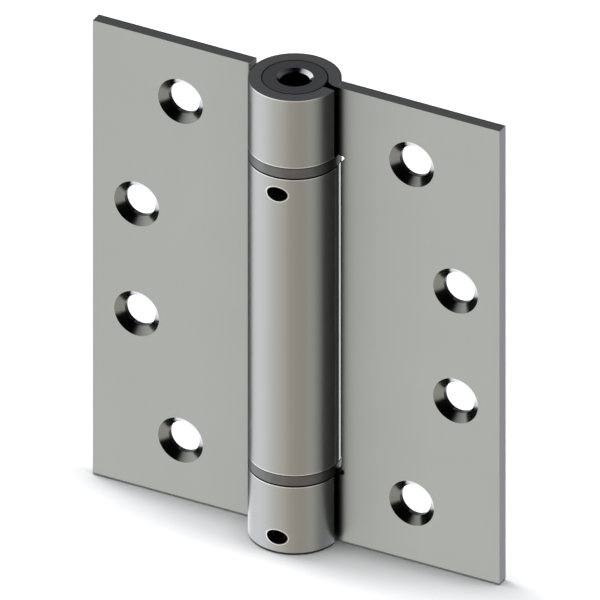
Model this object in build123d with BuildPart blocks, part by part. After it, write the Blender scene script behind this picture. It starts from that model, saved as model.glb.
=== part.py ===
from build123d import *

import os
from math import asin, cos, degrees, radians, sin, sqrt

# Full-mortise spring hinge, lying open flat and standing on its lower end.
# Millimetres. Origin on the barrel axis at the lower end, +Z up along the barrel,
# +X towards the frame leaf, -Y towards the countersunk side of both leaves.

# Leaves, both pressed from the same sheet
hinge_height = 114.3
leaf_reach = 50.0
sheet_thickness = 2.85
closed_gap = 1.2

# Screw holes: a wide pair near the barrel and a narrow pair near the outer edge
screw_hole_d = 7.5
countersink_d = 11.0
countersink_angle = 90.0
wide_pair_x = 28.4
wide_pair_spacing = 85.5
narrow_pair_x = 39.2
narrow_pair_spacing = 27.7

# Barrel: a sheet curl joined to its leaf by a small reverse bend
barrel_r = 10.2
reverse_bend_r = 0.4
curl_end_angle = -5.0
top_knuckle_height = 17.05
bottom_knuckle_height = 16.75
washer_height = 2.9
washer_upper_chamfer = 0.2
washer_lower_chamfer = 0.4
notch_clearance = 1.0
corner_relief_r = 0.7

# Oval pin slots in the curls, long side around the barrel, and the pins' clearances
pin_slot_angle = -84.5
pin_slot_length = 4.9
pin_slot_height = 3.5
pin_slot_clearance = 0.1
pin_hole_clearance = 0.05
adjuster_slot_drop = 4.0
anchor_slot_rise = 3.8

# Plugs that close the barrel and hold the ends of the spring
plug_clearance = 0.1
plug_chamfer = 0.1
adjuster_grip = 9.7
anchor_grip = 8.0
nose_height = 5.0
nose_clearance = 0.45
tang_slot_clearance = 0.1

# Adjuster: round mouth and hexagon of the key socket in its top
socket_d = 6.6
socket_depth = 4.0
socket_chamfer = 0.75
hex_across_flats = 5.6
hex_depth = 8.0

# Anchor pin: a rolled spring pin that keys the lower plug to its knuckle
anchor_pin_wall = 0.5
anchor_pin_gap = 0.6
anchor_pin_length = 13.0
anchor_pin_recess = 1.3

# Torsion spring of square wire
wire_side = 2.2
spring_bore_clearance = 0.4
spring_end_clearance = 0.1
spring_turns = 17.5
tang_dressing = 0.05

# Places that follow from the sizes
bore_r = barrel_r - sheet_thickness
leaf_front_y = closed_gap / 2
leaf_back_y = leaf_front_y + sheet_thickness
top_knuckle_z = hinge_height - top_knuckle_height
middle_top_z = top_knuckle_z - washer_height
middle_bottom_z = bottom_knuckle_height + washer_height
notch_x = barrel_r + notch_clearance
adjuster_slot_z = middle_top_z - adjuster_slot_drop
adjuster_shoulder_z = middle_top_z - adjuster_grip
anchor_shoulder_z = middle_bottom_z + anchor_grip
plug_r = bore_r - plug_clearance
pin_r = pin_slot_height / 2 - pin_slot_clearance
pin_hole_r = pin_r + pin_hole_clearance

# The coil fills the barrel between the plugs' shoulders, round their noses
coil_r = bore_r - spring_bore_clearance - wire_side / 2
coil_low_z = anchor_shoulder_z + spring_end_clearance + wire_side / 2
coil_high_z = adjuster_shoulder_z - spring_end_clearance - wire_side / 2
coil_height = coil_high_z - coil_low_z
coil_end_angle = 360 * spring_turns
nose_r = coil_r - wire_side / 2 - nose_clearance
tang_height = wire_side - 2 * tang_dressing
tang_length = nose_r + coil_r + wire_side / 2 - 2 * tang_dressing


def radial_plane(angle, radius, z):
    """Plane that faces out of the barrel at an angle about its axis, its X around the barrel."""
    outward = Vector(cos(radians(angle)), sin(radians(angle)), 0)
    around = Vector(-outward.Y, outward.X, 0)
    return Plane(origin=outward * radius + Vector(0, 0, z), x_dir=around, z_dir=outward)


def make_leaf(label, side, notches, slot_z):
    """A leaf with its curled knuckles.

    side is 1 for the leaf on +X and -1 for the one on -X, notches are the (low, high)
    stretches of the barrel that belong to the other leaf, and slot_z is the height of
    the pin slot.
    """
    bend_outer_r = reverse_bend_r + sheet_thickness
    bend_y = leaf_back_y + reverse_bend_r
    bend_reach = barrel_r + reverse_bend_r
    bend_x = sqrt(bend_reach**2 - bend_y**2)
    curl_start_angle = degrees(asin(bend_y / bend_reach))
    curl_sweep = 360 + curl_end_angle - curl_start_angle
    bend_sweep = 90 - curl_start_angle
    section_plane = Plane(origin=(0, 0, 0), x_dir=(side, 0, 0), z_dir=(0, 0, side))
    face_plane = Plane(origin=(0, 0, 0), x_dir=(side, 0, 0), z_dir=(0, -side, 0))

    with BuildPart() as leaf:
        # The sheet's section: flat leaf, reverse bend, and the curl round the back to the front
        with BuildSketch(section_plane):
            with BuildLine():
                Line((leaf_reach, leaf_front_y), (bend_x, leaf_front_y))
                CenterArc((bend_x, bend_y), bend_outer_r, 270, -bend_sweep)
                bore_arc = CenterArc((0, 0), bore_r, curl_start_angle, curl_sweep)
                rim_arc = CenterArc((0, 0), barrel_r, curl_end_angle, -curl_sweep)
                Line(bore_arc @ 1, rim_arc @ 0)
                CenterArc((bend_x, bend_y), reverse_bend_r, 270 - bend_sweep, bend_sweep)
                Line((bend_x, leaf_back_y), (leaf_reach, leaf_back_y))
                Line((leaf_reach, leaf_back_y), (leaf_reach, leaf_front_y))
            make_face()
        extrude(amount=side * hinge_height)

        # Notches for the other leaf's knuckles, with a relief in each inner corner
        with BuildSketch(face_plane):
            for low, high in notches:
                with Locations((notch_x, low)):
                    Rectangle(notch_x + 2 * barrel_r, high - low, align=(Align.MAX, Align.MIN))
                if low > 0:
                    with Locations((notch_x, low + corner_relief_r)):
                        Circle(corner_relief_r)
                if high < hinge_height:
                    with Locations((notch_x, high - corner_relief_r)):
                        Circle(corner_relief_r)
        extrude(amount=2 * barrel_r, both=True, mode=Mode.SUBTRACT)

        # Oval slot for a pin, through the front wall of the curl only
        with BuildSketch(radial_plane(pin_slot_angle, barrel_r, slot_z)):
            Ellipse(pin_slot_length / 2, pin_slot_height / 2)
        extrude(amount=-barrel_r, mode=Mode.SUBTRACT)

        # Countersunk screw holes, mirrored about mid-height
        hole_centres = [
            (side * x, hinge_height / 2 + up * spacing / 2)
            for x, spacing in ((wide_pair_x, wide_pair_spacing), (narrow_pair_x, narrow_pair_spacing))
            for up in (-1, 1)
        ]
        with Locations(Plane.XZ.offset(-leaf_front_y)):
            with Locations(*hole_centres):
                CounterSinkHole(
                    screw_hole_d / 2, countersink_d / 2, sheet_thickness, countersink_angle
                )
    leaf.part.label = label
    return leaf


def make_washer(label, low_z):
    """Thrust washer flush with the barrel, resting on the knuckle below it.

    The larger chamfer is on its lower rim, and leaves a groove above that knuckle.
    """
    with BuildPart() as washer:
        with BuildSketch(Plane.XY.offset(low_z)):
            Circle(barrel_r)
        extrude(amount=washer_height)
        chamfer(washer.edges().filter_by(GeomType.CIRCLE).sort_by(Axis.Z)[0], washer_lower_chamfer)
        chamfer(washer.edges().filter_by(GeomType.CIRCLE).sort_by(Axis.Z)[-1], washer_upper_chamfer)
        with BuildSketch(Plane.XY.offset(low_z)):
            Circle(bore_r)
        extrude(amount=washer_height, mode=Mode.SUBTRACT)
    washer.part.label = label
    return washer


def make_plug_blank(outer_z, shoulder_z, slot_angle):
    """Barrel plug from an outer end to a shoulder, with a nose slotted for the spring's tang."""
    inward = 1 if shoulder_z > outer_z else -1
    slot_dir = (cos(radians(slot_angle)), sin(radians(slot_angle)), 0)
    with BuildPart() as blank:
        with BuildSketch(Plane.XY.offset(outer_z)):
            Circle(plug_r)
        extrude(amount=shoulder_z - outer_z)
        rims = blank.edges().filter_by(GeomType.CIRCLE).sort_by(Axis.Z)
        chamfer(rims[0] if outer_z < shoulder_z else rims[-1], plug_chamfer)
        with BuildSketch(Plane.XY.offset(shoulder_z)):
            Circle(nose_r)
        extrude(amount=inward * nose_height)
        with BuildSketch(Plane(origin=(0, 0, shoulder_z), x_dir=slot_dir, z_dir=(0, 0, 1))):
            Rectangle(2 * nose_r, wire_side + 2 * tang_slot_clearance)
        extrude(amount=inward * nose_height, mode=Mode.SUBTRACT)
    return blank.part


# Frame leaf: top and bottom knuckles, notched for the middle one and both washers
frame_leaf = make_leaf(
    "frame_leaf", 1, [(bottom_knuckle_height, top_knuckle_z)], anchor_slot_rise
)

# Door leaf: the long middle knuckle, notched at both ends for the frame leaf's
door_leaf = make_leaf(
    "door_leaf", -1, [(0, middle_bottom_z), (middle_top_z, hinge_height)], adjuster_slot_z
)

# Thrust washers
lower_washer = make_washer("lower_washer", bottom_knuckle_height)
upper_washer = make_washer("upper_washer", middle_top_z)

# Adjuster plug, turned from the top by a key and held by a tension pin in one of its crossed holes
adjuster_blank = make_plug_blank(hinge_height, adjuster_shoulder_z, coil_end_angle)
with BuildPart() as adjuster_plug:
    add(adjuster_blank)
    with BuildSketch(Plane.XY.offset(hinge_height)):
        Circle(socket_d / 2)
    extrude(amount=-socket_depth, mode=Mode.SUBTRACT)
    socket_rim = adjuster_plug.edges().filter_by(GeomType.CIRCLE).group_by(Axis.Z)[-1]
    chamfer(socket_rim.sort_by(SortBy.RADIUS)[0], socket_chamfer)
    with BuildSketch(Plane.XY.offset(hinge_height - socket_depth)):
        RegularPolygon(hex_across_flats / 2, 6, major_radius=False)
    extrude(amount=-hex_depth, mode=Mode.SUBTRACT)
    for angle in (pin_slot_angle, pin_slot_angle + 90):
        with BuildSketch(radial_plane(angle, 0, adjuster_slot_z)):
            Circle(pin_hole_r)
        extrude(amount=barrel_r, both=True, mode=Mode.SUBTRACT)
adjuster_plug.part.label = "adjuster_plug"

# Anchor plug, keyed to the bottom knuckle by its pin
anchor_blank = make_plug_blank(0, anchor_shoulder_z, 0)
with BuildPart() as anchor_plug:
    add(anchor_blank)
    with BuildSketch(radial_plane(pin_slot_angle, barrel_r, anchor_slot_rise)):
        Circle(pin_hole_r)
    extrude(amount=-anchor_pin_recess - anchor_pin_length, mode=Mode.SUBTRACT)
anchor_plug.part.label = "anchor_plug"

# Anchor pin, its outer end recessed in the slot of the bottom knuckle
with BuildPart() as anchor_pin:
    with BuildSketch(radial_plane(pin_slot_angle, barrel_r - anchor_pin_recess, anchor_slot_rise)):
        Circle(pin_r)
        Circle(pin_r - anchor_pin_wall, mode=Mode.SUBTRACT)
        Rectangle(anchor_pin_gap, 2 * pin_r, align=(Align.CENTER, Align.MIN), mode=Mode.SUBTRACT)
    extrude(amount=-anchor_pin_length)
anchor_pin.part.label = "anchor_pin"

# Torsion spring: open coil with a straight tang across each end, lying in a plug's slot
with BuildPart() as torsion_spring:
    with BuildLine(Plane.XY.offset(coil_low_z)):
        coil = Helix(coil_height / spring_turns, coil_height, coil_r)
    with BuildSketch(Plane(origin=coil @ 0, x_dir=(1, 0, 0), z_dir=coil % 0)):
        Rectangle(wire_side, wire_side)
    sweep(path=coil, is_frenet=True)
    for end in (coil @ 0, coil @ 1):
        tang_origin = (0, 0, end.Z - tang_height / 2)
        with BuildSketch(Plane(origin=tang_origin, x_dir=(end.X, end.Y, 0), z_dir=(0, 0, 1))):
            with Locations((-nose_r, 0)):
                Rectangle(tang_length, wire_side, align=(Align.MIN, Align.CENTER))
        extrude(amount=tang_height)
torsion_spring.part.label = "torsion_spring"

os.makedirs("parts", exist_ok=True)
for piece in (
    frame_leaf,
    door_leaf,
    lower_washer,
    upper_washer,
    adjuster_plug,
    anchor_plug,
    anchor_pin,
    torsion_spring,
):
    export_step(piece.part, f"parts/{piece.part.label}.step")
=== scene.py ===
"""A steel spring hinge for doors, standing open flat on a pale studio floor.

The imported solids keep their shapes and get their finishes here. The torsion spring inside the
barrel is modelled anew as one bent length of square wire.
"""

import logging
import math
from dataclasses import dataclass
from enum import Enum

import bpy
from mathutils import Matrix, Vector


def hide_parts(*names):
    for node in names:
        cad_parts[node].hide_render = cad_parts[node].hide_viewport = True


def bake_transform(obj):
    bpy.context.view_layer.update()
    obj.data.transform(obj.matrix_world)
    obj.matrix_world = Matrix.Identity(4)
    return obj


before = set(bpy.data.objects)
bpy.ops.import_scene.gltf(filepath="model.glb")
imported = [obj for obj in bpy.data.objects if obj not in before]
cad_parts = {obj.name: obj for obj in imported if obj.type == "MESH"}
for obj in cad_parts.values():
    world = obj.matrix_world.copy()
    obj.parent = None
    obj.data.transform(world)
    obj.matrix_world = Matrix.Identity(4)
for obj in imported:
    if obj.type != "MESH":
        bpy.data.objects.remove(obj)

log = logging.getLogger("spring_hinge")

MM = 0.001
HINGE_HEIGHT = 114.3 * MM
BARREL_RADIUS = 10.2 * MM
SKIN = 0.06 * MM  # how near to a surface still counts as on it
WELD = 1e-6
NOISE_SPAN = (0.3, 0.7)  # where most of a noise's values lie
RELIEF = 0.5  # the strength of every bump

# A Mix node's sockets go by number, because each of its types has an A and a B
FLOAT_A, FLOAT_B = 2, 3
COLOUR_A, COLOUR_B, MIXED = 6, 7, 2

Colour = tuple[float, float, float, float]
Stops = tuple[tuple[float, float], ...]


class Body(Enum):
    """The moving bodies of the hinge."""

    FRAME = "frame"
    DOOR = "door"
    ADJUSTER = "adjuster"


class Grade(Enum):
    """The kinds of steel in the hinge, by the names of their material slots."""

    LEAF = "leaf_steel"
    WASHER = "washer_steel"
    PLUG = "plug_steel"
    SPRING = "spring_steel"
    PIN = "pin_steel"


def linear(code: str, gain: float = 1.0) -> Colour:
    """Turns an sRGB colour into the linear one that Blender's sockets take.

    Args:
        code: six hexadecimal digits, with or without a leading hash.
        gain: factor on the linear colour, for light sources.

    Returns:
        Red, green, blue and an alpha of 1.
    """
    digits = code.lstrip("#")
    channels = [int(digits[i : i + 2], 16) / 255 for i in (0, 2, 4)]
    red, green, blue = (
        gain * (c / 12.92 if c <= 0.04045 else ((c + 0.055) / 1.055) ** 2.4) for c in channels
    )
    return (red, green, blue, 1.0)


def add_node(
    tree: bpy.types.NodeTree,
    kind: str,
    settings: dict[str, object] | None = None,
    inputs: dict[str | int, object] | None = None,
    stops: list[tuple[float, Colour]] | None = None,
) -> bpy.types.Node:
    """Adds one shader node with its settings, inputs and links.

    Args:
        tree: the node tree that gets it.
        kind: the node's type without its ShaderNode prefix.
        settings: property names and their values.
        inputs: input sockets by name or number, each with a value, or with the output that feeds
            it, or with the node whose first output does.
        stops: places and colours along a colour ramp, from low to high.

    Returns:
        The new node.
    """
    node = tree.nodes.new(f"ShaderNode{kind}")
    for name, value in (settings or {}).items():
        setattr(node, name, value)
    for key, value in (inputs or {}).items():
        if isinstance(value, bpy.types.Node):
            value = value.outputs[0]
        if isinstance(value, bpy.types.NodeSocket):
            tree.links.new(value, node.inputs[key])
        else:
            node.inputs[key].default_value = value
    if stops:
        ramp = node.color_ramp
        ramp.elements.remove(ramp.elements[-1])
        ramp.elements[0].position, ramp.elements[0].color = stops[0]
        for position, colour in stops[1:]:
            ramp.elements.new(position).color = colour
    return node


def new_material(name: str) -> bpy.types.Material:
    """Makes an empty node material.

    Args:
        name: what the finish is called.

    Returns:
        The material, its tree cleared.
    """
    material = bpy.data.materials.new(name)
    material.use_nodes = True
    material.node_tree.nodes.clear()
    return material


@dataclass(frozen=True)
class SheetPlaces:
    """Outputs that tell where on a leaf a point is, in metres, and how the surface faces there."""

    point: bpy.types.NodeSocket
    y: bpy.types.NodeSocket
    z: bpy.types.NodeSocket
    across: bpy.types.Node  # sideways from the axis, to either side
    up: bpy.types.Node  # from mid-height, up or down
    radius: bpy.types.NodeSocket  # from the barrel's axis
    reach: bpy.types.Node  # the same, but negative on the left
    hole_span: bpy.types.Node  # from the nearest screw hole's axis
    facing_y: bpy.types.NodeSocket
    facing_z: bpy.types.NodeSocket


@dataclass(frozen=True)
class SatinSheet:
    """Stainless steel sheet with a satin finish, ground along the barrel before it was bent.

    To the eye: an even pale grey with hairlines running up and down and soft reflections. The
    sheared edges are darker. Shade is painted into the corner beside the knuckles and onto the
    barrel's side in the slit; a thin line of shade is painted along the foot, and a thin dark line
    along the back of the top edge. The screw holes were countersunk after grinding, so that their
    cones are sharper mirrors, and their bores are painted near black as shade. Thin bright lines
    are painted on the curl's ends and round the pin slots as highlights.
    """

    tint: str = "#AFB1AC"
    tint_low: str = "#ACAEA9"
    cone_tint: str = "#9A9C98"
    # The bores of the screw holes are painted near black as shade
    bore_shade_tint: str = "#3A3B3A"
    edge_tint: str = "#9D9FA0"
    side_tint: str = "#9A9C9E"
    # Bright lines painted as highlights on the curl's ends and round the pin slots
    highlight_tint: str = "#E8E8E5"
    # A thin line of painted shade along the foot and a thin dark line along the back of the top
    # edge
    dark_line_tint: str = "#2C2D2E"
    metallic: float = 0.93  # ground hairlines scatter a little light all round
    roughness: float = 0.3
    roughness_spread: float = 0.015
    cone_roughness: float = 0.16
    edge_roughness: float = 0.3
    # how rough the barrel's side is where shade is painted in the slit
    slit_shade_roughness: float = 0.9
    hairline_width: float = 0.32 * MM  # the real ones are 0.08 mm, too fine to show
    hairline_length: float = 22 * MM
    hairline_depth: float = 0.0004 * MM
    hairline_weight: float = 0.6  # against the clouds, in the tint
    cloud_size: float = 18 * MM
    wear_range: tuple[float, float] = (0.5, 1.1)
    tool_mark_pitch: float = 0.3 * MM
    hole_near: tuple[float, float] = (28.4 * MM, 42.75 * MM)
    hole_far: tuple[float, float] = (39.2 * MM, 13.85 * MM)
    cone_radius: float = 5.52 * MM
    cone_floor_y: float = 2.4 * MM
    wall_radius: float = 3.8 * MM
    leaf_reach: float = 50.0 * MM
    side_margin: float = 0.02 * MM
    level_cut: float = 0.9  # steeper faces aren't sheared ends
    forward_cut: float = -0.06  # faces turned further to the front are off the slit
    corner_depth: tuple[float, float] = (-0.5 * MM, 3.3 * MM)
    corner_reach: float = 40.0 * MM
    corner_gap: float = 0.4 * MM
    top_margin: float = 0.05 * MM
    # The share of light that the painted shade leaves, by millimetres out from the axis, the left
    # negative
    corner_light: Stops = (
        (-24, 1.0),
        (-14, 0.97),
        (-11.9, 0.93),
        (-11.75, 0.14),
        (-10.9, 0.14),
        (-10.0, 0.06),
        (10.35, 0.03),
        (10.8, 0.14),
        (11.25, 0.36),
        (11.7, 0.68),
        (12.1, 0.81),
        (13.3, 0.875),
        (16, 0.9),
        (21, 0.94),
        (32, 1.0),
    )
    # The same on the barrel inside the slit, by millimetres behind the axis
    slit_light: Stops = (
        (-2.0, 1.0),
        (-1.2, 0.84),
        (-0.5, 0.74),
        (0.1, 0.36),
        (1.15, 0.14),
        (1.6, 0.95),
        (2.55, 1.0),
        (2.8, 0.04),
        (3.8, 0.05),
        (4.8, 0.85),
        (6.0, 1.0),
    )
    knuckle_mid_z: float = 57.0 * MM
    curl_ends: tuple[float, float] = (37.24 * MM, 40.36 * MM)
    highlight_width: float = 0.26 * MM
    end_highlight_share: float = 0.85  # the highlight painted on the curl's ends is fainter than the one round the slots
    slot_angle: float = math.radians(-84.5)
    slot_mid_z: float = 47.075 * MM
    slot_rise: float = 43.275 * MM
    slot_half: tuple[float, float] = (2.45 * MM, 1.75 * MM)
    slot_ring: tuple[float, float] = (1.075, 0.055)  # the highlight ring's middle and half width, in slot sizes
    # the width of the painted shade line at the foot and the dark line at the top
    dark_line_width: float = 0.24 * MM
    leaf_foot: float = 0.6  # the line is fainter under the flat sheet
    back_y: float = 3.45 * MM
    sheet_slope: float = -0.278  # where the sheet leaves the curl, in plan
    sheet_start: float = 0.8 * MM

    def _places(self, tree: bpy.types.NodeTree) -> SheetPlaces:
        """Measures the place of each point, the four screw holes folded onto two.

        Args:
            tree: the material's node tree.

        Returns:
            The outputs to read.
        """
        place = add_node(tree, "TexCoord")
        point = place.outputs["Object"]
        split = add_node(tree, "SeparateXYZ", inputs={0: point})
        facing = add_node(tree, "SeparateXYZ", inputs={0: place.outputs["Normal"]})
        across = add_node(tree, "Math", {"operation": "ABSOLUTE"}, {0: split.outputs["X"]})
        lifted = add_node(
            tree, "Math", {"operation": "SUBTRACT"}, {0: split.outputs["Z"], 1: HINGE_HEIGHT / 2}
        )
        up = add_node(tree, "Math", {"operation": "ABSOLUTE"}, {0: lifted})
        folded = add_node(tree, "CombineXYZ", inputs={"X": across, "Z": up})
        spans = [
            add_node(tree, "VectorMath", {"operation": "DISTANCE"}, {0: folded, 1: (x, 0.0, z)})
            for x, z in (self.hole_near, self.hole_far)
        ]
        hole_span = add_node(
            tree,
            "Math",
            {"operation": "MINIMUM"},
            {0: spans[0].outputs["Value"], 1: spans[1].outputs["Value"]},
        )
        plan = add_node(
            tree, "VectorMath", {"operation": "MULTIPLY"}, {0: point, 1: (1.0, 1.0, 0.0)}
        )
        length = add_node(tree, "VectorMath", {"operation": "LENGTH"}, {0: plan})
        radius = length.outputs["Value"]
        side = add_node(tree, "Math", {"operation": "SIGN"}, {0: split.outputs["X"]})
        reach = add_node(tree, "Math", {"operation": "MULTIPLY"}, {0: radius, 1: side})
        return SheetPlaces(
            point=point,
            y=split.outputs["Y"],
            z=split.outputs["Z"],
            across=across,
            up=up,
            radius=radius,
            reach=reach,
            hole_span=hole_span,
            facing_y=facing.outputs["Y"],
            facing_z=facing.outputs["Z"],
        )

    def _corner_shade(
        self, tree: bpy.types.NodeTree, at: SheetPlaces, off_barrel: bpy.types.Node
    ) -> tuple[bpy.types.Node, bpy.types.Node]:
        """Paints shade into the corner between sheet and barrel.

        Args:
            tree: the material's node tree.
            at: the measured places.
            off_barrel: the mask of what isn't the barrel's side in the slit.

        Returns:
            The mask of the corner and the share of light that the painted shade leaves there.
        """
        along = add_node(
            tree,
            "MapRange",
            inputs={
                "Value": at.reach,
                "From Min": -self.corner_reach,
                "From Max": self.corner_reach,
            },
        )
        left = add_node(
            tree,
            "ValToRGB",
            inputs={0: along},
            stops=[
                ((1 + mm * MM / self.corner_reach) / 2, (light, light, light, 1.0))
                for mm, light in self.corner_light
            ],
        )
        low_y, high_y = self.corner_depth
        within = add_node(
            tree,
            "Math",
            {"operation": "COMPARE"},
            {0: at.y, 1: (low_y + high_y) / 2, 2: (high_y - low_y) / 2},
        )
        below_top = add_node(
            tree,
            "Math",
            {"operation": "LESS_THAN"},
            {0: at.up, 1: HINGE_HEIGHT / 2 - self.top_margin},
        )
        corner = add_node(tree, "Math", {"operation": "MULTIPLY"}, {0: within, 1: off_barrel})
        shaded_corner = add_node(tree, "Math", {"operation": "MULTIPLY"}, {0: corner, 1: below_top})
        return shaded_corner, left

    def _slit_shade(
        self, tree: bpy.types.NodeTree, at: SheetPlaces, off_barrel: bpy.types.Node
    ) -> tuple[bpy.types.Node, bpy.types.Node]:
        """Paints shade onto the barrel's own side where it dives behind the sheet.

        Args:
            tree: the material's node tree.
            at: the measured places.
            off_barrel: the mask of what isn't the barrel's side in the slit.

        Returns:
            The mask of the slit and the share of light that the painted shade leaves there.
        """
        first, last = self.slit_light[0][0], self.slit_light[-1][0]
        depth = add_node(
            tree,
            "MapRange",
            inputs={"Value": at.y, "From Min": first * MM, "From Max": last * MM},
        )
        left = add_node(
            tree,
            "ValToRGB",
            inputs={0: depth},
            stops=[
                ((mm - first) / (last - first), (light, light, light, 1.0))
                for mm, light in self.slit_light
            ],
        )
        right_side = add_node(
            tree, "Math", {"operation": "COMPARE"}, {0: at.reach, 1: BARREL_RADIUS, 2: SKIN}
        )
        inside = add_node(tree, "Math", {"operation": "SUBTRACT"}, {0: 1.0, 1: off_barrel})
        in_slit = add_node(tree, "Math", {"operation": "MULTIPLY"}, {0: right_side, 1: inside})
        return in_slit, left

    def _rim_highlights(self, tree: bpy.types.NodeTree, at: SheetPlaces) -> bpy.types.Node:
        """Paints highlights on the curl's ends and rims, and round the two pin slots, folded onto
        one.

        Args:
            tree: the material's node tree.
            at: the measured places.

        Returns:
            The mask of all painted highlights.
        """
        from_mid = add_node(
            tree, "Math", {"operation": "SUBTRACT"}, {0: at.z, 1: self.knuckle_mid_z}
        )
        mid_span = add_node(tree, "Math", {"operation": "ABSOLUTE"}, {0: from_mid})
        at_end = add_node(
            tree,
            "Math",
            {"operation": "GREATER_THAN"},
            {0: at.up, 1: HINGE_HEIGHT / 2 - self.highlight_width},
        )
        for level in self.curl_ends:
            end = add_node(
                tree,
                "Math",
                {"operation": "COMPARE"},
                {0: mid_span, 1: level, 2: self.highlight_width / 2},
            )
            at_end = add_node(tree, "Math", {"operation": "MAXIMUM"}, {0: at_end, 1: end})
        on_barrel = add_node(
            tree, "Math", {"operation": "COMPARE"}, {0: at.radius, 1: BARREL_RADIUS, 2: SKIN}
        )
        end_highlight = add_node(tree, "Math", {"operation": "MULTIPLY"}, {0: at_end, 1: on_barrel})
        half_width, half_height = self.slot_half
        sideways = (
            -math.sin(self.slot_angle) / half_width,
            math.cos(self.slot_angle) / half_width,
            0.0,
        )
        slot_across = add_node(
            tree, "VectorMath", {"operation": "DOT_PRODUCT"}, {0: at.point, 1: sideways}
        )
        lifted = add_node(tree, "Math", {"operation": "SUBTRACT"}, {0: at.z, 1: self.slot_mid_z})
        risen = add_node(tree, "Math", {"operation": "ABSOLUTE"}, {0: lifted})
        off = add_node(tree, "Math", {"operation": "SUBTRACT"}, {0: risen, 1: self.slot_rise})
        slot_up = add_node(tree, "Math", {"operation": "DIVIDE"}, {0: off, 1: half_height})
        slot_at = add_node(
            tree, "CombineXYZ", inputs={"X": slot_across.outputs["Value"], "Y": slot_up}
        )
        slot_span = add_node(tree, "VectorMath", {"operation": "LENGTH"}, {0: slot_at})
        ring = add_node(
            tree,
            "Math",
            {"operation": "COMPARE"},
            {0: slot_span.outputs["Value"], 1: self.slot_ring[0], 2: self.slot_ring[1]},
        )
        at_front = add_node(
            tree, "Math", {"operation": "LESS_THAN"}, {0: at.y, 1: -BARREL_RADIUS / 2}
        )
        slot_highlight = add_node(tree, "Math", {"operation": "MULTIPLY"}, {0: ring, 1: at_front})
        return add_node(
            tree,
            "Math",
            {"operation": "MULTIPLY_ADD", "use_clamp": True},
            {0: end_highlight, 1: self.end_highlight_share, 2: slot_highlight},
        )

    def _dark_lines(
        self, tree: bpy.types.NodeTree, at: SheetPlaces, cut_level: bpy.types.Node
    ) -> bpy.types.Node:
        """Paints a thin line of shade along the foot and a thin dark line along the back of the top
        edge.

        Args:
            tree: the material's node tree.
            at: the measured places.
            cut_level: the mask of level sheared faces.

        Returns:
            The mask of the line.
        """
        off_curl = add_node(
            tree,
            "Math",
            {"operation": "GREATER_THAN"},
            {0: at.radius, 1: BARREL_RADIUS + self.dark_line_width},
        )
        low = add_node(tree, "Math", {"operation": "LESS_THAN"}, {0: at.z, 1: self.dark_line_width})
        share = add_node(
            tree,
            "Math",
            {"operation": "MULTIPLY_ADD"},
            {0: off_curl, 1: self.leaf_foot - 1, 2: 1.0},
        )
        foot = add_node(tree, "Math", {"operation": "MULTIPLY"}, {0: low, 1: share})
        far_back = add_node(
            tree,
            "Math",
            {"operation": "GREATER_THAN"},
            {0: at.y, 1: self.back_y - self.dark_line_width},
        )
        outer = add_node(
            tree,
            "Math",
            {"operation": "COMPARE"},
            {0: at.radius, 1: BARREL_RADIUS, 2: self.dark_line_width},
        )
        # The sheet leaves the curl on the right, so the rim's line starts behind it
        backwards = add_node(
            tree,
            "VectorMath",
            {"operation": "DOT_PRODUCT"},
            {0: at.point, 1: (self.sheet_slope, 1.0, 0.0)},
        )
        behind = add_node(
            tree,
            "Math",
            {"operation": "GREATER_THAN"},
            {0: backwards.outputs["Value"], 1: self.sheet_start},
        )
        rim = add_node(tree, "Math", {"operation": "MULTIPLY"}, {0: outer, 1: behind})
        sheet = add_node(tree, "Math", {"operation": "MULTIPLY"}, {0: far_back, 1: off_curl})
        back = add_node(tree, "Math", {"operation": "MAXIMUM"}, {0: rim, 1: sheet})
        top_back = add_node(tree, "Math", {"operation": "MULTIPLY"}, {0: back, 1: cut_level})
        return add_node(tree, "Math", {"operation": "MAXIMUM"}, {0: foot, 1: top_back})

    def build(self) -> bpy.types.Material:
        """Builds the sheet's material.

        Returns:
            The material for both leaves.
        """
        material = new_material("satin_stainless_sheet")
        tree = material.node_tree
        at = self._places(tree)
        thin, long = 1 / self.hairline_width, 1 / self.hairline_length
        grain = add_node(
            tree, "Mapping", inputs={"Vector": at.point, "Scale": (thin, thin, long)}
        )
        hairlines = add_node(
            tree,
            "TexNoise",
            inputs={"Vector": grain, "Scale": 1.0, "Detail": 3.0, "Roughness": 0.6},
        ).outputs["Fac"]
        clouds = add_node(
            tree,
            "TexNoise",
            inputs={"Vector": at.point, "Scale": 1 / self.cloud_size, "Detail": 2.0},
        )
        near = add_node(
            tree, "Math", {"operation": "LESS_THAN"}, {0: at.hole_span, 1: self.cone_radius}
        )
        front = add_node(tree, "Math", {"operation": "LESS_THAN"}, {0: at.y, 1: self.cone_floor_y})
        cone = add_node(tree, "Math", {"operation": "MULTIPLY"}, {0: near, 1: front})
        wall = add_node(
            tree, "Math", {"operation": "LESS_THAN"}, {0: at.hole_span, 1: self.wall_radius}
        )
        # Sheared edges face up, down, or off the leaf's outer side
        level = add_node(tree, "Math", {"operation": "ABSOLUTE"}, {0: at.facing_z})
        cut_level = add_node(
            tree, "Math", {"operation": "GREATER_THAN"}, {0: level, 1: self.level_cut}
        )
        cut_side = add_node(
            tree,
            "Math",
            {"operation": "GREATER_THAN"},
            {0: at.across, 1: self.leaf_reach - self.side_margin},
        )
        edge = add_node(tree, "Math", {"operation": "MAXIMUM"}, {0: cut_level, 1: cut_side})
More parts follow.
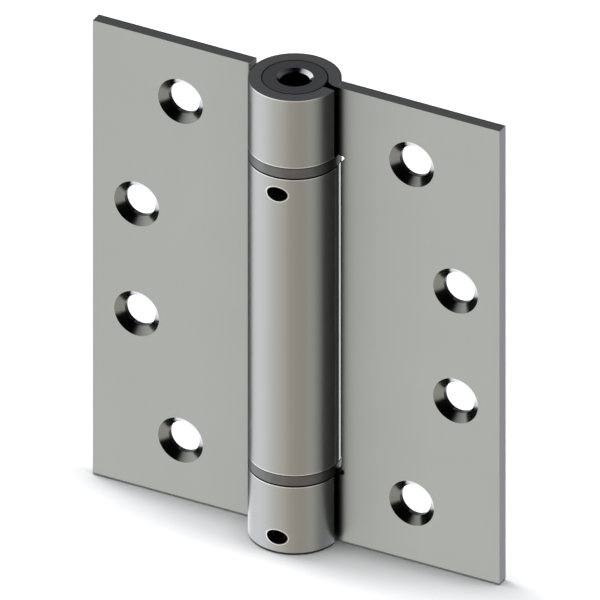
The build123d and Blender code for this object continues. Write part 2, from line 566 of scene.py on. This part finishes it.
        # The barrel's side in the slit doesn't face forward and is no further out than the curl
        forward = add_node(
            tree, "Math", {"operation": "LESS_THAN"}, {0: at.facing_y, 1: self.forward_cut}
        )
        past_barrel = add_node(
            tree,
            "Math",
            {"operation": "GREATER_THAN"},
            {0: at.radius, 1: BARREL_RADIUS + self.corner_gap},
        )
        off_barrel = add_node(
            tree, "Math", {"operation": "MAXIMUM"}, {0: forward, 1: past_barrel}
        )
        # Shade is painted into the corner beside the knuckles and onto the barrel's side in the
        # slit
        corner, corner_lit_share = self._corner_shade(tree, at, off_barrel)
        slit, slit_lit_share = self._slit_shade(tree, at, off_barrel)
        worn = add_node(
            tree,
            "Math",
            {"operation": "MULTIPLY_ADD"},
            {0: hairlines, 1: self.hairline_weight, 2: clouds},
        )
        shade = add_node(
            tree,
            "MapRange",
            inputs={"Value": worn, "From Min": self.wear_range[0], "From Max": self.wear_range[1]},
        )
        edge_colour = add_node(
            tree,
            "Mix",
            {"data_type": "RGBA"},
            {0: cut_side, COLOUR_A: linear(self.edge_tint), COLOUR_B: linear(self.side_tint)},
        )
        colour = linear(self.tint_low)
        for mask, blend, over in (
            (shade, "MIX", linear(self.tint)),
            (cone, "MIX", linear(self.cone_tint)),
            # The bores of the screw holes are painted near black as shade
            (wall, "MIX", linear(self.bore_shade_tint)),
            (edge, "MIX", edge_colour.outputs[MIXED]),
            # Painted highlights on the curl's ends and round the pin slots
            (self._rim_highlights(tree, at), "MIX", linear(self.highlight_tint)),
            (corner, "MULTIPLY", corner_lit_share),
            (slit, "MULTIPLY", slit_lit_share),
            # Painted shade along the foot and a painted dark line along the back of the top edge
            (self._dark_lines(tree, at, cut_level), "MIX", linear(self.dark_line_tint)),
        ):
            layer = add_node(
                tree,
                "Mix",
                {"data_type": "RGBA", "blend_type": blend},
                {0: mask, COLOUR_A: colour, COLOUR_B: over},
            )
            colour = layer.outputs[MIXED]
        metal = add_node(
            tree, "Mix", {"data_type": "FLOAT"}, {0: cone, FLOAT_A: self.metallic, FLOAT_B: 1.0}
        )
        # Where shade is painted in the slit, the surface is made rougher the darker it is
        slit_darkness = add_node(tree, "Math", {"operation": "SUBTRACT"}, {0: 1.0, 1: slit_lit_share})
        slit_shade_depth = add_node(tree, "Math", {"operation": "MULTIPLY"}, {0: slit, 1: slit_darkness})
        roughness = add_node(
            tree,
            "MapRange",
            inputs={
                "Value": hairlines,
                "From Min": NOISE_SPAN[0],
                "From Max": NOISE_SPAN[1],
                "To Min": self.roughness - self.roughness_spread,
                "To Max": self.roughness + self.roughness_spread,
            },
        )
        for mask, value in (
            (cone, self.cone_roughness),
            (edge, self.edge_roughness),
            (slit_shade_depth, self.slit_shade_roughness),
        ):
            roughness = add_node(
                tree, "Mix", {"data_type": "FLOAT"}, {0: mask, FLOAT_A: roughness, FLOAT_B: value}
            )
        # The countersink's tool leaves rings in the cones
        turning = add_node(
            tree,
            "Math",
            {"operation": "MULTIPLY"},
            {0: at.hole_span, 1: 2 * math.pi / self.tool_mark_pitch},
        )
        rings = add_node(tree, "Math", {"operation": "SINE"}, {0: turning})
        ring_relief = add_node(tree, "Math", {"operation": "MULTIPLY"}, {0: rings, 1: cone})
        relief = add_node(tree, "Math", {"operation": "ADD"}, {0: hairlines, 1: ring_relief})
        bump = add_node(
            tree,
            "Bump",
            inputs={"Strength": RELIEF, "Distance": self.hairline_depth, "Height": relief},
        )
        surface = add_node(
            tree,
            "BsdfPrincipled",
            inputs={
                "Base Color": colour,
                "Metallic": metal,
                "Roughness": roughness,
                "Normal": bump,
            },
        )
        add_node(tree, "OutputMaterial", inputs={"Surface": surface})
        return material


@dataclass(frozen=True)
class TurnedSteel:
    """Bar steel turned on a lathe, with fine rings left by the tool.

    To the eye: rings about the barrel's axis that catch the light, on a grey that depends on
    how far the part was polished or how much its oil has darkened it. A socket's mouth is reamed
    to a mirror with a rubbed edge. Shade is painted dark into the joint round the rim, onto the
    downward faces of the groove below a washer, and where a washer lies against the leaf.
    """

    name: str
    tint: str
    tint_low: str
    roughness: float
    mouth_radius: float = 0.0  # no socket
    rim_radius: float = 1.0  # no joint, as it is beyond the part
    mouth_tint: str = "#E2E2E4"
    mouth_roughness: float = 0.1
    # Painted shade in the joint, on the groove's downward faces and in the corner by the leaf
    joint_shade_tint: str = "#2E2E31"
    ring_pitch: float = 0.35 * MM  # the tool's feed is 0.1 mm, too fine to show
    ring_depth: float = 0.0015 * MM
    ring_weight: float = 0.5  # against the stains, in the tint
    wear_range: tuple[float, float] = (0.5, 1.0)
    stain_size: float = 3.5 * MM
    stain_roughness: tuple[float, float] = (0.05, -0.04)
    corner_at: tuple[float, float] = (0.85 * BARREL_RADIUS, -0.4 * MM)  # the leaf is beyond
    chamfer_facing: tuple[float, float] = (-0.7, 0.15)

    def _joint_shade(
        self,
        tree: bpy.types.NodeTree,
        radius: bpy.types.NodeSocket,
        split: bpy.types.Node,
        facing: bpy.types.Node,
    ) -> bpy.types.Node:
        """Paints shade into the joint, onto the groove's downward faces and into the corner by the
        leaf.

        Args:
            tree: the material's node tree.
            radius: the distance from the barrel's axis.
            split: the point's X, Y and Z.
            facing: the surface normal's X, Y and Z.

        Returns:
            The mask of the painted shade.
        """
        joint = add_node(
            tree, "Math", {"operation": "GREATER_THAN"}, {0: radius, 1: self.rim_radius}
        )
        beside, behind = (
            add_node(tree, "Math", {"operation": "GREATER_THAN"}, {0: way, 1: least})
            for way, least in zip(split.outputs, self.corner_at)
        )
        corner = add_node(tree, "Math", {"operation": "MULTIPLY"}, {0: beside, 1: behind})
        groove = add_node(
            tree,
            "Math",
            {"operation": "COMPARE"},
            {0: facing.outputs["Z"], 1: self.chamfer_facing[0], 2: self.chamfer_facing[1]},
        )
        rim = add_node(tree, "Math", {"operation": "MAXIMUM"}, {0: joint, 1: corner})
        return add_node(tree, "Math", {"operation": "MAXIMUM"}, {0: rim, 1: groove})

    def build(self) -> bpy.types.Material:
        """Builds the turned finish.

        Returns:
            The material, its rings about the Z axis.
        """
        material = new_material(self.name)
        tree = material.node_tree
        place = add_node(tree, "TexCoord")
        flat = add_node(
            tree,
            "VectorMath",
            {"operation": "MULTIPLY"},
            {0: place.outputs["Object"], 1: (1.0, 1.0, 0.0)},
        )
        radius = add_node(tree, "VectorMath", {"operation": "LENGTH"}, {0: flat}).outputs["Value"]
        split = add_node(tree, "SeparateXYZ", inputs={0: place.outputs["Object"]})
        facing = add_node(tree, "SeparateXYZ", inputs={0: place.outputs["Normal"]})
        rings_at = add_node(tree, "CombineXYZ", inputs={"X": radius, "Y": split.outputs["Z"]})
        rings = add_node(
            tree,
            "TexNoise",
            inputs={
                "Vector": rings_at,
                "Scale": 1 / self.ring_pitch,
                "Detail": 2.0,
                "Roughness": 0.5,
            },
        ).outputs["Fac"]
        stains = add_node(
            tree,
            "TexNoise",
            inputs={
                "Vector": place.outputs["Object"],
                "Scale": 1 / self.stain_size,
                "Detail": 3.0,
            },
        ).outputs["Fac"]
        blend = add_node(
            tree, "Math", {"operation": "MULTIPLY_ADD"}, {0: rings, 1: self.ring_weight, 2: stains}
        )
        shade = add_node(
            tree,
            "MapRange",
            inputs={"Value": blend, "From Min": self.wear_range[0], "From Max": self.wear_range[1]},
        )
        mouth = add_node(
            tree, "Math", {"operation": "LESS_THAN"}, {0: radius, 1: self.mouth_radius}
        )
        colour = linear(self.tint_low)
        for mask, over in (
            (shade, self.tint),
            (mouth, self.mouth_tint),
            # Painted shade in the joint round the rim, on the groove and in the corner by the leaf
            (self._joint_shade(tree, radius, split, facing), self.joint_shade_tint),
        ):
            layer = add_node(
                tree,
                "Mix",
                {"data_type": "RGBA"},
                {0: mask, COLOUR_A: colour, COLOUR_B: linear(over)},
            )
            colour = layer.outputs[MIXED]
        stained = add_node(
            tree,
            "MapRange",
            inputs={
                "Value": stains,
                "From Min": NOISE_SPAN[0],
                "From Max": NOISE_SPAN[1],
                "To Min": self.roughness + self.stain_roughness[0],
                "To Max": self.roughness + self.stain_roughness[1],
            },
        )
        roughness = add_node(
            tree,
            "Mix",
            {"data_type": "FLOAT"},
            {0: mouth, FLOAT_A: stained, FLOAT_B: self.mouth_roughness},
        )
        bump = add_node(
            tree,
            "Bump",
            inputs={"Strength": RELIEF, "Distance": self.ring_depth, "Height": rings},
        )
        surface = add_node(
            tree,
            "BsdfPrincipled",
            inputs={
                "Base Color": colour,
                "Metallic": 1.0,
                "Roughness": roughness,
                "Normal": bump,
            },
        )
        add_node(tree, "OutputMaterial", inputs={"Surface": surface})
        return material


@dataclass(frozen=True)
class BlackenedSteel:
    """Hardened steel blackened in hot oil or salts, as springs and pins are.

    To the eye: near black with a dull oily shine, and a little brown where the film is thin.
    """

    name: str
    tint: str
    thin_tint: str
    roughness: float
    metallic: float = 0.9
    patch_size: float = 1.6 * MM
    thin_range: tuple[float, float] = (0.5, 0.75)
    patch_roughness: tuple[float, float] = (-0.06, 0.08)

    def build(self) -> bpy.types.Material:
        """Builds the blackened finish.

        Returns:
            The material.
        """
        material = new_material(self.name)
        tree = material.node_tree
        place = add_node(tree, "TexCoord")
        patches = add_node(
            tree,
            "TexNoise",
            inputs={
                "Vector": place.outputs["Object"],
                "Scale": 1 / self.patch_size,
                "Detail": 4.0,
            },
        ).outputs["Fac"]
        thin = add_node(
            tree,
            "MapRange",
            inputs={
                "Value": patches,
                "From Min": self.thin_range[0],
                "From Max": self.thin_range[1],
            },
        )
        colour = add_node(
            tree,
            "Mix",
            {"data_type": "RGBA"},
            {0: thin, COLOUR_A: linear(self.tint), COLOUR_B: linear(self.thin_tint)},
        )
        roughness = add_node(
            tree,
            "MapRange",
            inputs={
                "Value": patches,
                "From Min": NOISE_SPAN[0],
                "From Max": NOISE_SPAN[1],
                "To Min": self.roughness + self.patch_roughness[0],
                "To Max": self.roughness + self.patch_roughness[1],
            },
        )
        surface = add_node(
            tree,
            "BsdfPrincipled",
            inputs={
                "Base Color": colour.outputs[MIXED],
                "Metallic": self.metallic,
                "Roughness": roughness,
            },
        )
        add_node(tree, "OutputMaterial", inputs={"Surface": surface})
        return material


@dataclass
class TorsionSpring:
    """The spring: square wire coiled inside the barrel, each end bent across the axis.

    The lower tang lies in the anchor plug's slot and the upper one in the adjuster's, so the
    coil winds up when the adjuster is turned.
    """

    wire: float = 2.2 * MM
    corner_radius: float = 0.25 * MM
    coil_radius: float = 5.85 * MM
    low_z: float = 28.85 * MM
    high_z: float = 83.45 * MM
    turns: float = 17.5
    bend_radius: float = 1.7 * MM
    tang_end: float = 4.25 * MM
    steps_per_turn: int = 32
    bend_steps: int = 7
    corner_steps: int = 2
    smooth_below: float = math.radians(50)

    def _bend_centre(self) -> tuple[float, float]:
        """The centre of the lower bend in plan, tangent inside the coil and to the tang."""
        reach = self.coil_radius - self.bend_radius
        return (math.sqrt(reach**2 - self.bend_radius**2), self.bend_radius)

    def _coil(self, lead: float) -> bpy.types.Object:
        """Coils the wire's section, leaving out the angle that each end bend takes.

        Args:
            lead: the angle about the axis that each bend takes, in radians.

        Returns:
            The coil with its ends still open.
        """
        bpy.ops.object.select_all(action="DESELECT")
        bpy.ops.mesh.primitive_plane_add(
            size=self.wire, location=(self.coil_radius, 0, self.low_z), rotation=(math.pi / 2, 0, 0)
        )
        coil = bpy.context.object
        coil.name = coil.data.name = "coiled_spring"
        bpy.ops.object.transform_apply(location=True, rotation=True, scale=True)
        bpy.ops.object.mode_set(mode="EDIT")
        bpy.ops.mesh.select_all(action="SELECT")
        bpy.ops.mesh.bevel(
            offset=self.corner_radius, segments=self.corner_steps, affect="VERTICES"
        )
        bpy.ops.mesh.select_all(action="SELECT")
        bpy.ops.mesh.delete(type="ONLY_FACE")
        bpy.ops.object.mode_set(mode="OBJECT")
        coil.data.transform(Matrix.Rotation(lead, 4, "Z"))
        sweep = 2 * math.pi * self.turns - 2 * lead
        screw = coil.modifiers.new("coil", "SCREW")
        screw.axis = "Z"
        screw.angle = sweep
        screw.screw_offset = self.high_z - self.low_z
        screw.steps = screw.render_steps = round(self.steps_per_turn * sweep / (2 * math.pi))
        screw.iterations = 1
        screw.use_smooth_shade = True
        bpy.ops.object.modifier_apply(modifier=screw.name)
        return coil

    def _bend_tang(self, coil: bpy.types.Object, end_angle: float, z: float, side: int) -> None:
        """Bends one end of the wire inwards and runs it across the axis.

        Args:
            coil: the coil, open at that end.
            end_angle: the tang's direction about the axis, in radians.
            z: the height of the wire's centre at that end.
            side: 1 for the end that the coil starts from, -1 for the one where it stops.
        """
        x, y = self._bend_centre()
        turn = Matrix.Rotation(end_angle, 4, "Z")
        centre = turn @ Vector((x, side * y, z))
        bend = math.pi / 2 + math.atan2(y, x)
        bpy.ops.object.mode_set(mode="EDIT")
        bpy.ops.mesh.select_mode(type="EDGE")
        bpy.ops.mesh.select_all(action="DESELECT")
        bpy.ops.object.mode_set(mode="OBJECT")
        lead_angle = end_angle + side * math.atan2(y, x)
        across = Vector((-math.sin(lead_angle), math.cos(lead_angle), 0))
        for edge in coil.data.edges:
            ends = [coil.data.vertices[v].co for v in edge.vertices]
            edge.select = all(
                abs(co.dot(across)) < WELD
                and abs(co.z - z) < self.wire
                and co.dot(turn @ Vector((1, 0, 0))) > 0
                for co in ends
            )
        bpy.ops.object.mode_set(mode="EDIT")
        bpy.ops.mesh.spin(
            steps=self.bend_steps, angle=side * bend, center=centre, axis=(0, 0, 1)
        )
        run = turn @ Vector((-(x + self.tang_end), 0, 0))
        bpy.ops.mesh.extrude_region_move(TRANSFORM_OT_translate={"value": run})
        bpy.ops.object.mode_set(mode="OBJECT")

    def build(self) -> bpy.types.Object:
        """Builds the spring at rest.

        Returns:
            The spring, closed at both ends, its faces outwards.
        """
        x, y = self._bend_centre()
        coil = self._coil(math.atan2(y, x))
        self._bend_tang(coil, 0.0, self.low_z, 1)
        self._bend_tang(coil, 2 * math.pi * self.turns, self.high_z, -1)
        bpy.ops.object.mode_set(mode="EDIT")
        bpy.ops.mesh.select_all(action="SELECT")
        bpy.ops.mesh.remove_doubles(threshold=WELD)
        bpy.ops.mesh.select_all(action="SELECT")
        bpy.ops.mesh.fill_holes(sides=0)
        bpy.ops.mesh.select_all(action="SELECT")
        bpy.ops.mesh.normals_make_consistent(inside=False)
        bpy.ops.object.mode_set(mode="OBJECT")
        bpy.ops.object.shade_smooth_by_angle(angle=self.smooth_below)
        return coil

    def fit(self, material: bpy.types.Material) -> bpy.types.Object:
        """Builds and dresses the spring and hides the imported one.

        Args:
            material: the spring wire's finish.

        Returns:
            The finished piece.
        """
        spring = self.build()
        spring.data.materials.clear()
        spring.data.materials.append(material)
        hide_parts("torsion_spring")
        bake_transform(spring)
        return spring


@dataclass
class Studio:
    """A white floor under one soft lamp, in a dim room that is lit from the left.

    The metal's gloss shows the room, not the floor or the lamp.
    """

    floor_size: float = 12.0
    floor_drop: float = 0.3 * MM  # the lower edges stand on a thin dark line
    floor_tint: str = "#F8F9FB"
    floor_glow: float = 0.22
    floor_fade: tuple[float, float] = (0.3, 1.6)
    contact_reach: float = 6.5 * MM
    contact_dark: float = 0.3
    contact_samples: int = 16
    second_glow: float = 0.12
    horizon: tuple[float, float] = (-0.3, 0.0)
    lamp_place: tuple[float, float, float] = (-0.035, 0.046, 1.0)
    lamp_size: tuple[float, float] = (0.7, 0.165)
    lamp_power: float = 8.4
    azimuth: float = 28.1
    elevation: float = 30.8
    view_width: float = 130.1 * MM
    view_centre: tuple[float, float] = (1.13 * MM, -48.31 * MM)
    view_distance: float = 0.8
    view_clip: tuple[float, float] = (0.01, 20.0)
    # The room's light by the angle about Z from +X, each with a colour and a strength
    room_low: tuple[tuple[float, str, float], ...] = (
        (-180, "#F4F6FF", 1.42),
        (-158, "#F4F6FF", 1.58),
        (-130, "#FBFDFF", 1.28),
        (-114, "#FFFFFC", 1.04),
        (-92, "#FFF9F0", 0.98),
        (-76, "#FFF4EC", 0.75),
        (-40, "#FFF4EC", 0.62),
        (-22, "#FFFCF6", 0.76),
        (-8, "#F8FFF9", 0.52),
        (8, "#FAFFFA", 0.3),
        (40, "#F4F5FF", 0.5),
        (66, "#F4F5FF", 0.7),
        (76, "#F6F8FF", 1.8),
        (90, "#F6F8FF", 1.8),
        (98, "#F6F8FF", 0.2),
        (116, "#F6F8FF", 0.3),
        (130, "#F4F6FF", 1.9),
        (146, "#F4F6FF", 1.6),
        (162, "#F4F6FF", 1.36),
        (180, "#F4F6FF", 1.42),
    )
    room_high: tuple[tuple[float, str, float], ...] = (
        (-180, "#FFFFFF", 1.0),
        (-160, "#FFFFFF", 0.85),
        (-140, "#FFFFFF", 0.55),
        (-126, "#FFFFFF", 0.36),
        (-112, "#FFFFFF", 0.05),
        (-98, "#FFFFFF", 0.004),
        (-50, "#FFFFFF", 0.002),
        (0, "#FFFFFF", 0.03),
        (56, "#FFFFFF", 0.1),
        (118, "#F8F8FF", 0.06),
        (145, "#FFFFFF", 0.6),
        (160, "#FFFFFF", 1.1),
        (180, "#FFFFFF", 1.0),
    )

    def lay_floor(self) -> bpy.types.Object:
        """Lays the floor, a sweep that the metal's gloss looks past into the room.

        Returns:
            The floor.
        """
        bpy.ops.object.select_all(action="DESELECT")
        bpy.ops.mesh.primitive_plane_add(size=self.floor_size, location=(0, 0, -self.floor_drop))
        floor = bpy.context.object
        floor.name = "studio_floor"
        bpy.ops.object.transform_apply(location=True, rotation=True, scale=True)
        material = new_material("white_paper_sweep")
        tree = material.node_tree
        path = add_node(tree, "LightPath")
        shown = add_node(
            tree,
            "Math",
            {"operation": "MAXIMUM"},
            {0: path.outputs["Is Camera Ray"], 1: path.outputs["Is Transmission Ray"]},
        )
        # The floor fades to the backdrop's white away from the hinge
        place = add_node(tree, "TexCoord")
        away = add_node(tree, "VectorMath", {"operation": "LENGTH"}, {0: place.outputs["Object"]})
        fade = add_node(
            tree,
            "MapRange",
            {"interpolation_type": "SMOOTHSTEP"},
            {
                "Value": away.outputs["Value"],
                "From Min": self.floor_fade[0],
                "From Max": self.floor_fade[1],
                "To Min": self.floor_glow,
                "To Max": 1.0,
            },
        )
        # Close under the hinge hardly any of the fill light arrives
        nearby = add_node(
            tree,
            "AmbientOcclusion",
            {"samples": self.contact_samples},
            {"Distance": self.contact_reach},
        )
        contact = add_node(
            tree,
            "MapRange",
            inputs={
                "Value": nearby.outputs["AO"],
                "From Min": self.contact_dark,
                "From Max": 1.0,
            },
        )
        fill = add_node(tree, "Math", {"operation": "MULTIPLY"}, {0: contact, 1: fade})
        glow = add_node(tree, "Math", {"operation": "MULTIPLY"}, {0: shown, 1: fill})
        paper = add_node(tree, "BsdfDiffuse", inputs={"Color": linear(self.floor_tint)})
        light = add_node(tree, "Emission", inputs={"Color": linear("#FFFFFF"), "Strength": glow})
        white = add_node(tree, "AddShader", inputs={0: paper, 1: light})
        room = add_node(tree, "BsdfTransparent")
        surface = add_node(
            tree,
            "MixShader",
            inputs={0: path.outputs["Is Glossy Ray"], 1: white, 2: room},
        )
        add_node(tree, "OutputMaterial", inputs={"Surface": surface})
        floor.data.materials.append(material)
        return floor

    def light_room(self) -> None:
        """Lights the room: pale below, dim above, brighter on the left than on the right."""
        world = bpy.data.worlds.new("studio_room")
        bpy.context.scene.world = world
        world.use_nodes = True
        tree = world.node_tree
        tree.nodes.clear()
        place = add_node(tree, "TexCoord")
        around = add_node(
            tree,
            "TexGradient",
            {"gradient_type": "RADIAL"},
            {"Vector": place.outputs["Generated"]},
        )
        split = add_node(tree, "SeparateXYZ", inputs={0: place.outputs["Generated"]})
        low, high = (
            add_node(
                tree,
                "ValToRGB",
                inputs={0: around.outputs["Fac"]},
                stops=[((angle + 180) / 360, linear(code, gain)) for angle, code, gain in ring],
            )
            for ring in (self.room_low, self.room_high)
        )
        horizon = add_node(
            tree,
            "MapRange",
            {"interpolation_type": "SMOOTHSTEP"},
            {
                "Value": split.outputs["Z"],
                "From Min": self.horizon[0],
                "From Max": self.horizon[1],
            },
        )
        studio = add_node(
            tree,
            "Mix",
            {"data_type": "RGBA"},
            {0: horizon, COLOUR_A: low, COLOUR_B: high},
        )
        path = add_node(tree, "LightPath")
        backdrop = add_node(
            tree,
            "Mix",
            {"data_type": "RGBA"},
            {
                0: path.outputs["Is Camera Ray"],
                COLOUR_A: studio.outputs[MIXED],
                COLOUR_B: linear("#FFFFFF"),
            },
        )
        # A reflection of a reflection shows the room dimmed
        twice = add_node(
            tree, "Math", {"operation": "GREATER_THAN"}, {0: path.outputs["Glossy Depth"], 1: 1.5}
        )
        strength = add_node(
            tree,
            "Math",
            {"operation": "MULTIPLY_ADD"},
            {0: twice, 1: self.second_glow - 1, 2: 1.0},
        )
        surface = add_node(
            tree,
            "Background",
            inputs={"Color": backdrop.outputs[MIXED], "Strength": strength},
        )
        add_node(tree, "OutputWorld", inputs={"Surface": surface})

    def hang_lamp(self) -> bpy.types.Object:
        """Hangs the soft lamp over the hinge.

        Returns:
            The lamp.
        """
        bpy.ops.object.light_add(type="AREA", location=self.lamp_place)
        lamp = bpy.context.object
        lamp.name = "overhead_softbox"
        lamp.data.shape = "RECTANGLE"
        lamp.data.size, lamp.data.size_y = self.lamp_size
        lamp.data.energy = self.lamp_power
        lamp.visible_glossy = False  # seen in the level faces, it would bleach them from above
        return lamp

    def set_camera(self) -> bpy.types.Object:
        """Sets the camera at the photograph's angle, without perspective.

        Returns:
            The camera.
        """
        a, e = math.radians(self.azimuth), math.radians(self.elevation)
        right = Vector((math.cos(a), math.sin(a), 0))
        up = Vector((-math.sin(a) * math.sin(e), math.cos(a) * math.sin(e), math.cos(e)))
        back = right.cross(up)
        centre = (
            Vector((0, 0, HINGE_HEIGHT)) + right * self.view_centre[0] + up * self.view_centre[1]
        )
        bpy.ops.object.camera_add(location=centre + back * self.view_distance)
        camera = bpy.context.object
        camera.name = "catalogue_view"
        camera.matrix_world = Matrix(
            (
                (right.x, up.x, back.x, camera.location.x),
                (right.y, up.y, back.y, camera.location.y),
                (right.z, up.z, back.z, camera.location.z),
                (0, 0, 0, 1),
            )
        )
        camera.data.type = "ORTHO"
        camera.data.ortho_scale = self.view_width
        camera.data.clip_start, camera.data.clip_end = self.view_clip
        bpy.context.scene.camera = camera
        return camera

    def build(self) -> None:
        """Builds the whole studio."""
        bpy.context.scene.view_settings.view_transform = "Standard"
        bpy.context.scene.cycles.glossy_bounces = 1
        self.lay_floor()
        self.light_room()
        self.hang_lamp()
        self.set_camera()


@dataclass
class SpringHinge:
    """The hinge: two leaves, two washers, two plugs, the anchor pin and the spring."""

    leaf: SatinSheet = SatinSheet()
    washer: TurnedSteel = TurnedSteel("oiled_turned_washer", "#7B7C7A", "#6E6F6D", 0.4)
    plug: TurnedSteel = TurnedSteel(
        "turned_plug_steel", "#ABACB4", "#9D9EA5", 0.3, mouth_radius=4.06 * MM, rim_radius=7.05 * MM
    )
    spring_wire: BlackenedSteel = BlackenedSteel("oil_tempered_wire", "#46454A", "#5C5349", 0.34)
    pin_wire: BlackenedSteel = BlackenedSteel("black_oxide_pin", "#0E0E0F", "#171512", 0.42)

    def dress(self) -> None:
        """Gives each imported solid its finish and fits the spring."""
        finishes = {
            Grade.LEAF: self.leaf.build(),
            Grade.WASHER: self.washer.build(),
            Grade.PLUG: self.plug.build(),
            Grade.SPRING: self.spring_wire.build(),
            Grade.PIN: self.pin_wire.build(),
        }
        grades = {
            "frame_leaf": Grade.LEAF,
            "door_leaf": Grade.LEAF,
            "lower_washer": Grade.WASHER,
            "upper_washer": Grade.WASHER,
            "adjuster_plug": Grade.PLUG,
            "anchor_plug": Grade.PLUG,
            "anchor_pin": Grade.PIN,
            "torsion_spring": Grade.SPRING,
        }
        for name, grade in grades.items():
            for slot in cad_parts[name].material_slots:
                slot.material = finishes[grade]
            log.info("%s: %s", name, finishes[grade].name)
        spring = TorsionSpring().fit(finishes[Grade.SPRING])
        log.info("%s: %d faces", spring.name, len(spring.data.polygons))


def main() -> None:
    """Builds the studio and dresses the hinge."""
    logging.basicConfig(level=logging.INFO, format="%(name)s: %(message)s")
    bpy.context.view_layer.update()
    Studio().build()
    SpringHinge().dress()


if __name__ == "__main__":
    main()
